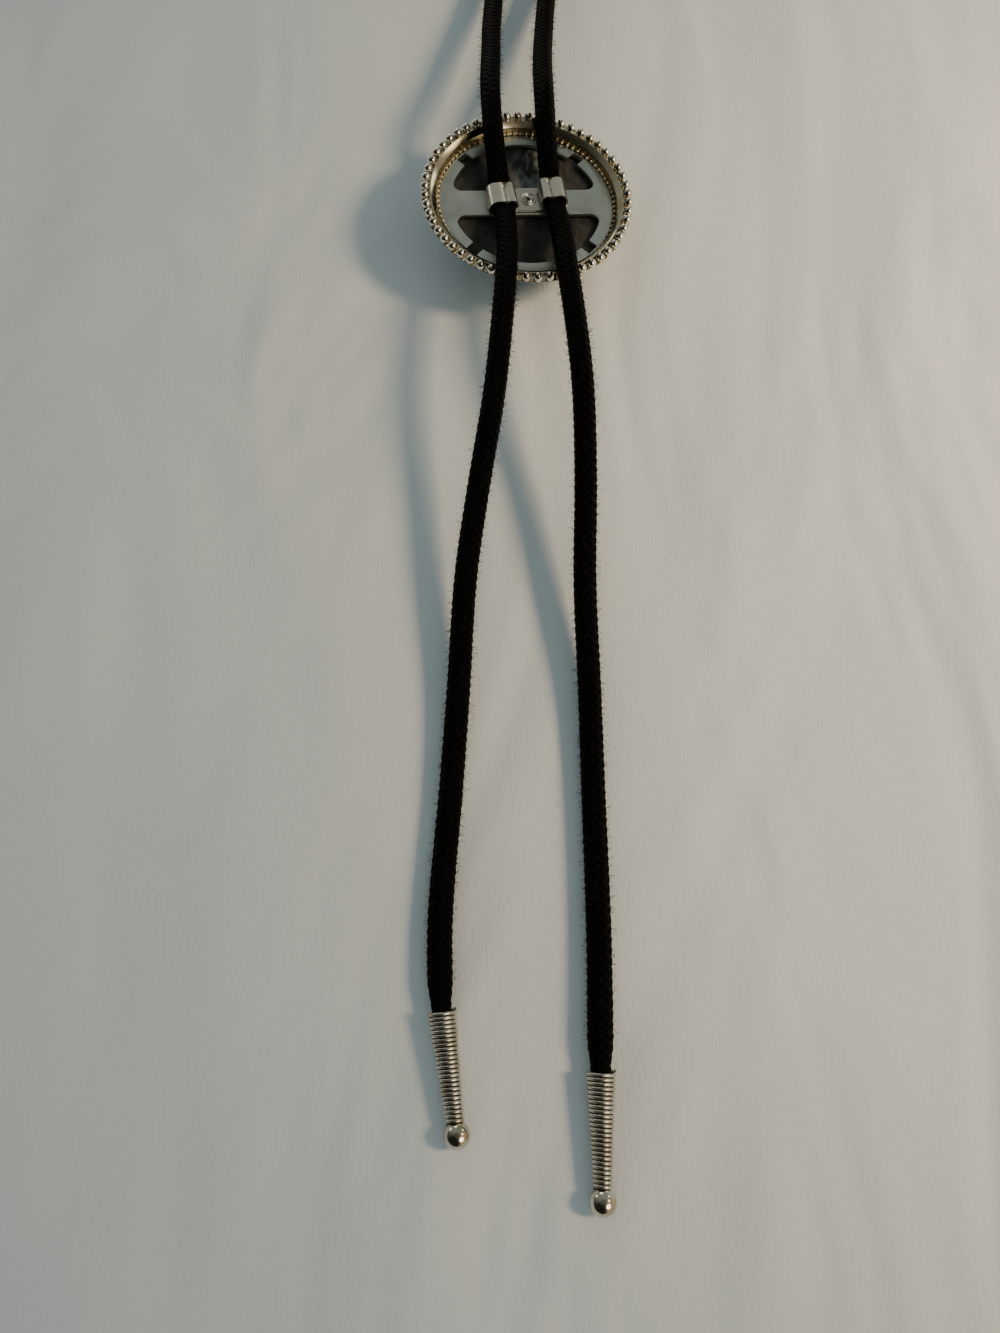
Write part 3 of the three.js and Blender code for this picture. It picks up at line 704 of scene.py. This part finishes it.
LENGTH_OF_A_TURN = 15.4 * MM
STEPS_A_TURN = 22
braid_turns = round(cord_length / LENGTH_OF_A_TURN)
strands = []
for label, way in (("braid_turning_right", 1.0), ("braid_turning_left", -1.0)):
    line = route_line(label + "_line")
    grow(line, braid_tree, {"Turns": float(braid_turns), "Way": way, "Steps": braid_turns * STEPS_A_TURN + 1,
                            "Lift": tuple(slide_up), "Material": black_braid})
    strands.append(set_down(line, label))
print("each strand turns", braid_turns, "times")

# %% [markdown]
# ## Stray fibres
# A worn braid has fine hairs that stand off it and catch the light. They are scattered over the core with a
# fixed seed, each a short bent wire of two steps, and those that would go through the table lie on it. As hair
# they would not survive an export, so they become thin triangles.

# %% Stray fibres
fuzz_tree, steps, given, result = shape_tree("stray_fibres", [
    ("Density", "Float", 1000000.0), ("Shortest", "Float", 0.4 * MM), ("Longest", "Float", 1.5 * MM),
    ("Thickness", "Float", 0.035 * MM), ("Seed", "Int", 7), ("Material", "Material", None)])
spots = steps.add("GeometryNodeDistributePointsOnFaces", {
    "Mesh": given["Geometry"], "Density": given["Density"], "Seed": given["Seed"]})
hair_line = steps.out("GeometryNodeCurvePrimitiveLine", {"End": (0, 0, 1)})
hair_line = steps.out("GeometryNodeResampleCurve", {0: hair_line, 2: 3})
lean = steps.out("FunctionNodeRandomValue", {0: (-0.75, -0.75, -0.3), 1: (0.75, 0.75, 0.3), "Seed": given["Seed"]},
                 data_type="FLOAT_VECTOR")
aim = steps.arrow("ADD", spots.outputs["Normal"], steps.scaled(lean, 1.6))
turn = steps.out("FunctionNodeAlignEulerToVector", {"Vector": aim}, axis="Z")
size = steps.add("FunctionNodeRandomValue", {
    2: given["Shortest"], 3: given["Longest"], "Seed": given["Seed"]}, data_type="FLOAT").outputs[1]
planted = steps.out("GeometryNodeInstanceOnPoints", {
    "Points": spots.outputs["Points"], "Instance": hair_line, "Rotation": turn, "Scale": size})
loose = steps.real(planted)
tip = steps.add("GeometryNodeSplineParameter").outputs["Factor"]
where = steps.out("GeometryNodeInputPosition")
bend = steps.add("ShaderNodeTexNoise", {"Vector": where, "Scale": 900.0}).outputs["Color"]
bend = steps.scaled(steps.arrow("SUBTRACT", bend, (0.5, 0.5, 0.5)), steps.times(tip, 1.4 * MM))
curled = steps.out("GeometryNodeSetPosition", {"Geometry": loose, "Offset": bend})
apart = steps.add("ShaderNodeSeparateXYZ", {0: where})
above = steps.number("MAXIMUM", apart.outputs[2], steps.times(given["Thickness"], 2.0))
on_table = steps.vector(apart.outputs[0], apart.outputs[1], above)
curled = steps.out("GeometryNodeSetPosition", {"Geometry": curled, "Position": on_table})
wire = steps.out("GeometryNodeCurvePrimitiveCircle", {"Resolution": 3, "Radius": given["Thickness"]})
hairs = steps.out("GeometryNodeCurveToMesh", {"Curve": curled, "Profile Curve": wire})
steps.dress(result, steps.real(hairs), given["Material"])

BARE_END = 9 * MM
ROOT_RADIUS = 2.35 * MM
in_the_open = (along_route > BARE_END) & (along_route < cord_length - BARE_END)
fuzz_base = tube("fuzz_base", route[in_the_open], ROOT_RADIUS, wide_share[in_the_open], high_share[in_the_open], 12)
grow(fuzz_base, fuzz_tree, {"Material": stray_fibre})
fuzz = set_down(fuzz_base, "stray_fibres")

# %% [markdown]
# ## The tips
# Each tip is a length of wire wound into a tapered coil, with the cord glued into its wide end and a ball
# soldered on its narrow end. The coil follows a rule, so Geometry Nodes wind it: a spiral whose radius shrinks
# as it climbs, with a slightly flattened wire run along it. The ball and the sleeve inside the coil are turned
# shapes, and the sleeve is painted near-black as the shade in the grooves between the turns.

# %% Turned shapes
def turned_piece(name, profile, sides=96, closed=False):
    """A turned mesh about Z from (radius, height) points; open profiles start and end on the axis."""
    points, rings = [], []
    for radius, height in profile:
        if radius < 1e-9:
            rings.append([len(points)] * sides)
            points.append((0, 0, height))
            continue
        rings.append(list(range(len(points), len(points) + sides)))
        points += [(radius * math.cos(2 * math.pi * k / sides), radius * math.sin(2 * math.pi * k / sides), height)
                   for k in range(sides)]
    faces = []
    pairs = list(zip(rings[:-1], rings[1:])) + ([(rings[-1], rings[0])] if closed else [])
    for low, high in pairs:
        for k in range(sides):
            corners = [low[k], low[(k + 1) % sides], high[(k + 1) % sides], high[k]]
            corners = [c for i, c in enumerate(corners) if c not in corners[:i]]
            if len(corners) > 2:
                faces.append(corners)
    return bare_mesh(name, points, faces)


def rounded_profile(corners, radius, steps_round=4, closed=True):
    """The same corners with each sharp one replaced by a small arc, as a tool or polishing leaves it."""
    result_points = []
    count = len(corners)
    for i, corner in enumerate(corners):
        here = np.array(corner)
        if not closed and i in (0, count - 1):
            result_points.append(tuple(here))
            continue
        before = np.array(corners[i - 1]) - here
        after = np.array(corners[(i + 1) % count]) - here
        cut = min(radius, np.linalg.norm(before) * 0.45, np.linalg.norm(after) * 0.45)
        a = here + before / np.linalg.norm(before) * cut
        b = here + after / np.linalg.norm(after) * cut
        for t in np.linspace(0, 1, steps_round + 1):
            result_points.append(tuple((1 - t) ** 2 * a + 2 * t * (1 - t) * here + t**2 * b))
    return result_points


# %% The coil's tree
coil_tree, steps, given, result = shape_tree("tapered_coil", [
    ("Turns", "Float", 25.5), ("Mouth Radius", "Float", 2.55 * MM), ("Narrow Radius", "Float", 1.43 * MM),
    ("Length", "Float", 19.4 * MM), ("Wire Width", "Float", 0.31 * MM), ("Wire Height", "Float", 0.28 * MM),
    ("Material", "Material", None)])
spiral = steps.out("GeometryNodeCurveSpiral", {
    "Resolution": 28, "Rotations": given["Turns"], "Start Radius": given["Mouth Radius"],
    "End Radius": given["Narrow Radius"], "Height": given["Length"]})
outward = steps.arrow("MULTIPLY", steps.out("GeometryNodeInputPosition"), (1.0, 1.0, 0.0))
spiral = steps.out("GeometryNodeSetCurveNormal", {"Curve": spiral, "Normal": outward}, mode="FREE")
wire = steps.out("GeometryNodeCurvePrimitiveCircle", {"Resolution": 10, "Radius": 1.0})
flat = steps.vector(given["Wire Height"], given["Wire Width"], 1.0)
wire = steps.out("GeometryNodeTransform", {"Geometry": wire, "Scale": flat})
wound = steps.out("GeometryNodeCurveToMesh", {"Curve": spiral, "Profile Curve": wire, "Fill Caps": True})
wound = steps.out("GeometryNodeSetShadeSmooth", {0: wound})
wound = steps.keep(wound, "wire", True, "BOOLEAN", "FACE")
both = steps.real(steps.joined(wound, given["Geometry"]))
steps.dress(result, both, given["Material"], steps.kept("wire", "BOOLEAN"))

# %% Wind and place the tips
ball_radius = 2.45 * MM
ball_height = 21.4 * MM
mouth_radius = 2.875 * MM
mouth_height, socket_depth, socket_radius = 0.25 * MM, 5.9 * MM, 2.05 * MM
tips = {"left_tip": ((-17.4, -182.2), 8.6), "right_tip": ((11.9, -192.6), -0.8)}
tip_pieces = {}
for name, (mouth, heading) in tips.items():
    waist = 1.35 * MM
    neck_angle = math.asin(waist / ball_radius)
    ball = [(ball_radius * math.sin(a), ball_height - ball_radius * math.cos(a))
            for a in np.linspace(neck_angle, math.pi, 25)]
    ball[-1] = (0.0, ball_height + ball_radius)
    sleeve = [(0.0, socket_depth), (socket_radius, socket_depth), (socket_radius, mouth_height),
              (2.4 * MM, mouth_height),
              (waist, ball_height - ball_radius * math.cos(neck_angle))]
    blank = turned_piece(name + "_blank", sleeve[:-1] + ball, 48)
    blank.data.shade_smooth()
    blank.data.materials.append(painted_groove_shade)
    blank.data.materials.append(tip_nickel)
    face_outwards(blank)
    # Faces below the ball get the painted groove shade, and the ball gets its nickel.
    for face in blank.data.polygons:
        face.material_index = int(face.center.z > ball_height - ball_radius)
    blank.data.set_sharp_from_angle(angle=math.radians(40))
    grow(blank, coil_tree, {"Material": coil_nickel})
    droop = math.asin((mouth_radius - ball_radius) / ball_height)
    place = (Matrix.Translation((mouth[0] * MM, mouth[1] * MM, mouth_radius + 0.03 * MM))
             @ Matrix.Rotation(math.radians(heading), 4, "Z") @ Matrix.Rotation(math.pi / 2 + droop, 4, "X"))
    tip_pieces[name] = set_down(blank, name + "_wound", place)

# %% [markdown]
# ## The setting
# The slide's setting is a turned ring with a row of beads soldered round its back edge and a finer grained
# row at the foot of its inner wall. The ring is a turned profile with rounded corners. Both rows of beads
# come from one small tree that copies a ball round a circle, with a slight seeded change of size, because
# no real bead is quite like its neighbour. The inner wall gets a darker, browner copy of the lip's metal:
# painted shade in the recess and a painted warm reflection.

# %% The row of beads' tree
row_tree, steps, given, result = shape_tree("row_of_beads", [
    ("Count", "Int", 56), ("Row Radius", "Float", 24.1 * MM), ("Bead Radius", "Float", 1.2 * MM),
    ("Height", "Float", 0.0), ("First Angle", "Float", 0.0), ("Variation", "Float", 0.02),
    ("Segments", "Int", 20), ("Seed", "Int", 3), ("Row", "Int", 1), ("Material", "Material", None)])
circle = steps.out("GeometryNodeMeshCircle", {"Vertices": given["Count"], "Radius": given["Row Radius"]})
turn = steps.vector(0.0, 0.0, given["First Angle"])
shift = steps.vector(0.0, 0.0, given["Height"])
circle = steps.out("GeometryNodeTransform", {"Geometry": circle, "Translation": shift, "Rotation": turn})
rings_count = steps.times(given["Segments"], 0.6)
ball_mesh = steps.out("GeometryNodeMeshUVSphere", {
    "Segments": given["Segments"], "Rings": rings_count, "Radius": given["Bead Radius"]})
ball_mesh = steps.out("GeometryNodeSetShadeSmooth", {0: ball_mesh})
ball_mesh = steps.keep(ball_mesh, "row", given["Row"], "INT", "FACE")
least = steps.number("SUBTRACT", 1.0, given["Variation"])
most = steps.number("ADD", 1.0, given["Variation"])
change = steps.add("FunctionNodeRandomValue", {
    2: least, 3: most, "Seed": given["Seed"]}, data_type="FLOAT").outputs[1]
row = steps.out("GeometryNodeInstanceOnPoints", {
    "Points": circle, "Instance": ball_mesh, "Scale": change})
both = steps.real(steps.joined(row, given["Geometry"]))
in_this_row = steps.number("COMPARE", steps.kept("row", "INT"), given["Row"], 0.1)
steps.dress(result, both, given["Material"], in_this_row)

# %% The turned ring with its two rows
rim_corners = [(r * MM, z * MM) for r, z in (
    (20.3, -5.0), (20.95, -5.0), (25.1, -0.72), (25.0, -0.6), (23.25, -0.6), (23.12, -0.04), (22.85, 0.0),
    (21.62, -0.86), (21.52, -2.2), (21.1, -2.45), (21.1, -3.6), (20.3, -3.6))]
rim = turned_piece("beaded_rim_turned", rounded_profile(rim_corners, 0.08 * MM), sides=224, closed=True)
rim.data.materials.append(lip_nickel)
rim.data.materials.append(wall_nickel_painted_shade)
face_outwards(rim)
# Faces of the inner wall get the darker metal of painted shade, and the rest of the ring gets the lip's metal.
for face in rim.data.polygons:
    from_axis = math.hypot(face.center.x, face.center.y)
    face.material_index = int(from_axis < 21.6 * MM and face.center.z > -3.6 * MM)
smooth_up_to(rim, 50)
grow(rim, row_tree, {"Count": 56, "Row Radius": 24.2 * MM, "Bead Radius": 1.08 * MM, "Height": -0.04 * MM,
                     "First Angle": math.radians(5.3), "Material": bright_nickel, "Seed": 3})
grow(rim, row_tree, {"Count": 88, "Row Radius": 21.14 * MM, "Bead Radius": 0.43 * MM, "Height": -2.3 * MM,
                     "Variation": 0.05, "Segments": 12, "Row": 2, "Material": grain_nickel, "Seed": 5})
rim = set_down(rim, "beaded_rim_finished", slide_frame)

# %% [markdown]
# ## The back plate
# The plate is stamped from sheet: a disc with two D-shaped windows, a bar between them and four slots on the
# diagonals. It is cut here as it would be in the press, with Boolean tools that have the windows' outlines,
# and then its edges are broken with a fine bevel, because a stamped edge is never razor sharp and catches
# a line of light.

# %% Cutting tools and the plate
def prism(name, outline, low, high):
    count = len(outline)
    points = [(x, y, low) for x, y in outline] + [(x, y, high) for x, y in outline]
    faces = [tuple(range(count))[::-1], tuple(range(count, 2 * count))]
    faces += [(k, (k + 1) % count, count + (k + 1) % count, count + k) for k in range(count)]
    piece = bare_mesh(name, points, faces)
    face_outwards(piece)
    return piece


def arc(cx, cy, radius, start, stop, count):
    return [(cx + radius * math.cos(a), cy + radius * math.sin(a)) for a in np.linspace(start, stop, count)]


def break_edges(piece, width, segments):
    edge = piece.modifiers.new("broken_edge", "BEVEL")
    edge.width = width
    edge.segments = segments
    edge.limit_method = "ANGLE"
    edge.angle_limit = math.radians(50)


def cut_with(piece, tools):
    for tool in tools:
        modifier = piece.modifiers.new("cut", "BOOLEAN")
        modifier.object = tool
        modifier.operation = "DIFFERENCE"
        modifier.solver = "EXACT"


rivet_x, rivet_y = 0.45 * MM, 0.25 * MM
rivet_hole_radius = 1.1 * MM
rivet_hole = arc(rivet_x, rivet_y, rivet_hole_radius, 0, 2 * math.pi, 33)[:-1]
plate_radius = 20.8 * MM
window_radius = 18.0 * MM
bar_half = 3.7 * MM
corner = 2.0 * MM
corner_y = bar_half + corner
corner_x = math.sqrt((window_radius - corner) ** 2 - corner_y**2)
meet = math.atan2(corner_y, corner_x)
window = (arc(corner_x, corner_y, corner, -math.pi / 2, meet, 10)
          + arc(0, 0, window_radius, meet, math.pi - meet, 72)[1:-1]
          + arc(-corner_x, corner_y, corner, math.pi - meet, 1.5 * math.pi, 10))
tools = [prism("window_far", window, -6 * MM, 0), prism("window_near", [(-x, -y) for x, y in window], -6 * MM, 0)]
for angle in (45, 135, 225, 315):
    a = math.radians(angle)
    near, far, half_slot = 16.0 * MM, plate_radius - 0.4 * MM, 1.55 * MM
    corners = [(near, -half_slot), (far, -half_slot), (far, half_slot), (near, half_slot)]
    tools.append(prism("slot", [(x * math.cos(a) - y * math.sin(a), x * math.sin(a) + y * math.cos(a))
                                for x, y in corners], -6 * MM, 0))
tools.append(prism("rivet_hole", rivet_hole, -6 * MM, 0))
plate = prism("plate_blank", arc(0, 0, plate_radius, 0, 2 * math.pi, 193)[:-1], plate_bottom, plate_top)
plate.data.materials.append(satin_plate)
cut_with(plate, tools)
break_edges(plate, width=0.09 * MM, segments=2)
plate = set_down(plate, "back_plate_stamped", plate_frame)
for tool in tools:
    bpy.data.objects.remove(tool)
smooth_up_to(plate, 35)

# %% [markdown]
# ## The spring clip
# The clip is one strip of springy sheet. Its flat middle is riveted to the bar, and each end is bent up and
# over into a loop with two lobes that nip the cord between them. The strip's middle line is drawn in section,
# given its thickness, and pushed along the cord's direction. The loops lean 4 degrees more than the bar. Their
# upper faces wear a brighter copy of the strip's metal than its flat and its sides: painted light.

# %% The loops' section
loop_line = [(-1.0, 0.0), (-0.2, 0.0), (0.7, 0.0), (0.94, 0.07), (1.0, 0.26), (0.95, 0.52), (0.83, 0.76),
             (0.63, 0.94), (0.38, 1.0), (0.12, 0.96), (-0.09, 0.84), (-0.2, 0.75), (-0.31, 0.84), (-0.53, 0.98),
             (-0.78, 0.93), (-0.93, 0.72), (-0.97, 0.5), (-0.9, 0.35), (-0.76, 0.32)]
loop_half_length = 2.85 * MM
loop_lean = math.radians(4)


def strip_outline(middle, thickness):
    line = spline_through(np.array([(x, y, 0.0) for x, y in middle]), 6)[:, :2]
    heading = np.gradient(line, axis=0)
    heading /= np.linalg.norm(heading, axis=1)[:, None]
    side = np.stack([-heading[:, 1], heading[:, 0]], axis=1) * thickness / 2
    return [tuple(p) for p in line - side] + [tuple(p) for p in (line + side)[::-1]]


def clip_loop(label, loop):
    half_width = (loop["width"] - strip) / 2
    rise = loop["height"] - strip
    middle = [(loop["outward"] * x * half_width, y * rise) for x, y in loop_line]
    outline = strip_outline(middle, strip)
    piece = prism(label + "_loop", outline, -loop_half_length, loop_half_length)
    place = (Matrix.Translation((loop["across"], loop["along"], clip_bottom + strip / 2))
             @ Matrix.Rotation(loop_lean, 4, "Z") @ Matrix.Rotation(math.pi / 2, 4, "X"))
    piece.data.transform(place)
    return piece


def round_oblong(cx, cy, width, height, radius):
    x, y = width / 2 - radius, height / 2 - radius
    quarter = math.pi / 2
    return [p for sx, sy, k in ((1, 1, 0), (-1, 1, 1), (-1, -1, 2), (1, -1, 3))
            for p in arc(cx + sx * x, cy + sy * y, radius, k * quarter, (k + 1) * quarter, 9)]


# %% Fold the clip
clip = prism("clip_blank", round_oblong(rivet_x, rivet_y, 7.0 * MM, 6.8 * MM, 1.2 * MM),
             clip_bottom, clip_bottom + strip)
hole = prism("clip_hole", rivet_hole, -6 * MM, 6 * MM)
left_loop = clip_loop("left", loops["left"])
right_loop = clip_loop("right", loops["right"])
for tool in (left_loop, right_loop):
    modifier = clip.modifiers.new("solder", "BOOLEAN")
    modifier.object = tool
    modifier.operation = "UNION"
    modifier.solver = "EXACT"
cut_with(clip, [hole])
break_edges(clip, width=0.1 * MM, segments=3)
clip.data.materials.append(clip_nickel)
clip = set_down(clip, "spring_clip_folded", plate_frame)
for tool in (left_loop, right_loop, hole):
    bpy.data.objects.remove(tool)
smooth_up_to(clip, 35)
clip.data.materials.append(loop_nickel_painted_light)
into_plate_frame = plate_frame.inverted()
# Upper faces of the loops get the brighter metal of painted light, and the flat and the sides keep the clip's
# metal.
for face in clip.data.polygons:
    sideways = abs((into_plate_frame.to_3x3() @ face.normal).x)
    face.material_index = int((into_plate_frame @ face.center).z > clip_bottom + 2 * strip and sideways < 0.75)

# %% [markdown]
# ## The rivet
# A small hollow rivet holds the clip to the bar. Its head is rolled outward into a smooth ring round a dark
# hole, and the tool that rolled it has left a second, fainter ring round the first. Both are in one rounded
# profile, which is turned.

# %% Turn the rivet
head = clip_bottom + strip + 0.05 * MM
tail = plate_bottom - 0.1 * MM
rivet_corners = [(0.42 * MM, tail - 0.4 * MM), (1.4 * MM, tail - 0.4 * MM), (1.4 * MM, tail), (0.8 * MM, tail),
                 (0.8 * MM, head), (1.85 * MM, head), (1.85 * MM, head + 0.1 * MM), (1.68 * MM, head + 0.2 * MM),
                 (1.5 * MM, head + 0.08 * MM), (1.36 * MM, head + 0.06 * MM), (1.24 * MM, head + 0.34 * MM),
                 (0.98 * MM, head + 0.48 * MM), (0.72 * MM, head + 0.3 * MM), (0.55 * MM, head - 0.3 * MM)]
rivet = turned_piece("rivet_blank", rounded_profile(rivet_corners, 0.12 * MM), 48, closed=True)
face_outwards(rivet)
smooth_up_to(rivet, 45)
rivet.data.materials.append(rivet_nickel)
rivet = set_down(rivet, "eyelet_rivet_rolled", plate_frame @ Matrix.Translation((rivet_x, rivet_y, 0)))

# %% [markdown]
# ## The domed stone
# The setting holds a dome that faces the table. Only its flat back can be seen from above. It is a turned
# shape with a short upright girdle, and its back has a finish of its own.

# %% Turn the stone
dome_radius = 24.2 * MM
girdle_radius = 20.0 * MM
stone_back_height = -4.2 * MM
girdle_height = -5.4 * MM
dome_middle = girdle_height + math.sqrt(dome_radius**2 - girdle_radius**2)
half_angle = math.asin(girdle_radius / dome_radius)
dome = [(dome_radius * math.sin(a), dome_middle - dome_radius * math.cos(a))
        for a in np.linspace(0, half_angle, 40)]
dome[0] = (0.0, dome[0][1])
flat_back = [(girdle_radius, stone_back_height + 0.2 * MM), (girdle_radius - 0.2 * MM, stone_back_height),
             (0.0, stone_back_height)]
stone = turned_piece("stone_blank", dome + flat_back, 160)
face_outwards(stone)
smooth_up_to(stone, 30)
stone.data.materials.append(stone_dome)
stone.data.materials.append(stone_back)
for face in stone.data.polygons:
    if face.normal.z > 0.9:
        face.material_index = 1
stone = set_down(stone, "cabochon_polished", slide_frame)

# %% [markdown]
# ## Putting the tie together
# Every piece is listed with the solids it stands for and a finish name, and moves with the one body of the tie.
# The solids that a piece stands for are hidden.

stands_for = [
    (core, ["braided_cord"], "black_cord"), (strands[0], [], "black_cord"), (strands[1], [], "black_cord"),
    (fuzz, [], "black_cord"), (tip_pieces["left_tip"], ["left_tip"], "bright_metal"),
    (tip_pieces["right_tip"], ["right_tip"], "bright_metal"), (rim, ["beaded_rim"], "bright_metal"),
    (plate, ["back_plate"], "satin_metal"), (clip, ["spring_clip"], "clip_metal"),
    (rivet, ["eyelet_rivet"], "clip_metal"), (stone, ["cabochon"], "dark_stone")]
for piece, nodes, slot_name in stands_for:
    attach(piece, "root")
    if nodes:
        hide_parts(*nodes)
